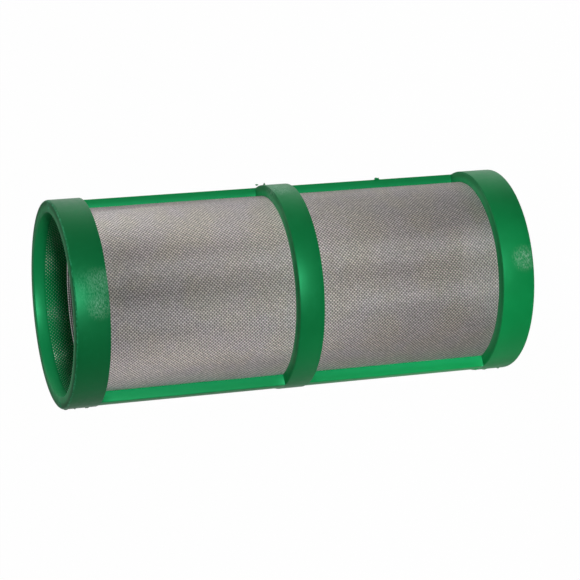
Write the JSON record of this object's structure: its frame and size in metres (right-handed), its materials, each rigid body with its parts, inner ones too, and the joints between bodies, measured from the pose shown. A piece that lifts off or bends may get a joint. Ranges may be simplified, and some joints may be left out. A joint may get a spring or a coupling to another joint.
{
  "type": "line filter cartridge",
  "caption": "Cylindrical strainer cartridge: a moulded plastic cage of end rings, a middle ring and side ribs, open at both ends, around a fine woven wire sleeve.",
  "frame": {"origin": "centre of the lower end face, on the cartridge's axis", "axes": "+Z along the cartridge's axis, from one end ring to the other; +X through one of the two ribs"},
  "size_m": [0.038, 0.038, 0.0864],
  "materials": {
    "green_plastic": "satin moulded plastic with light scuffs",
    "wire_cloth": "bright drawn wire, woven"
  },
  "bodies": {
    "root": {"cage": "green_plastic", "screen": "wire_cloth"}
  },
  "joints": []
}
